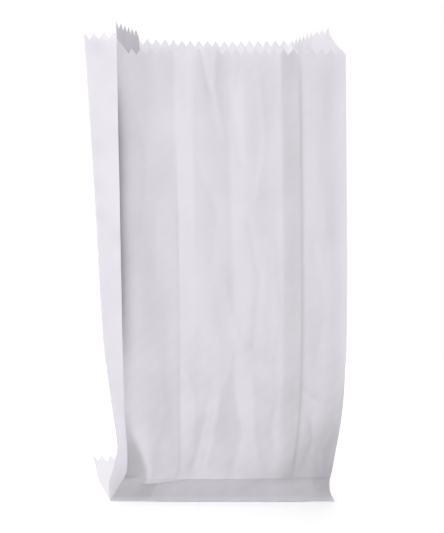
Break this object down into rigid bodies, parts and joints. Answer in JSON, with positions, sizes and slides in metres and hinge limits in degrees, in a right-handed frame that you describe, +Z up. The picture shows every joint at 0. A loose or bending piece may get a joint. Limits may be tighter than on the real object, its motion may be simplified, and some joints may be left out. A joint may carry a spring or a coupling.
{
  "type": "popcorn bag",
  "caption": "Open, empty paper popcorn bag with pleated side gussets, a serrated mouth with a lowered front lip, and a folded-over glued bottom edge.",
  "frame": {"origin": "middle of the bag's footprint, on the surface that it stands on", "axes": "+X to the right along the front face, +Y from the front face to the back, +Z up through the open mouth"},
  "size_m": [0.1536, 0.0634, 0.2755],
  "materials": {
    "paper": "matte"
  },
  "bodies": {
    "root": {"paper_bag": "paper"}
  },
  "joints": []
}
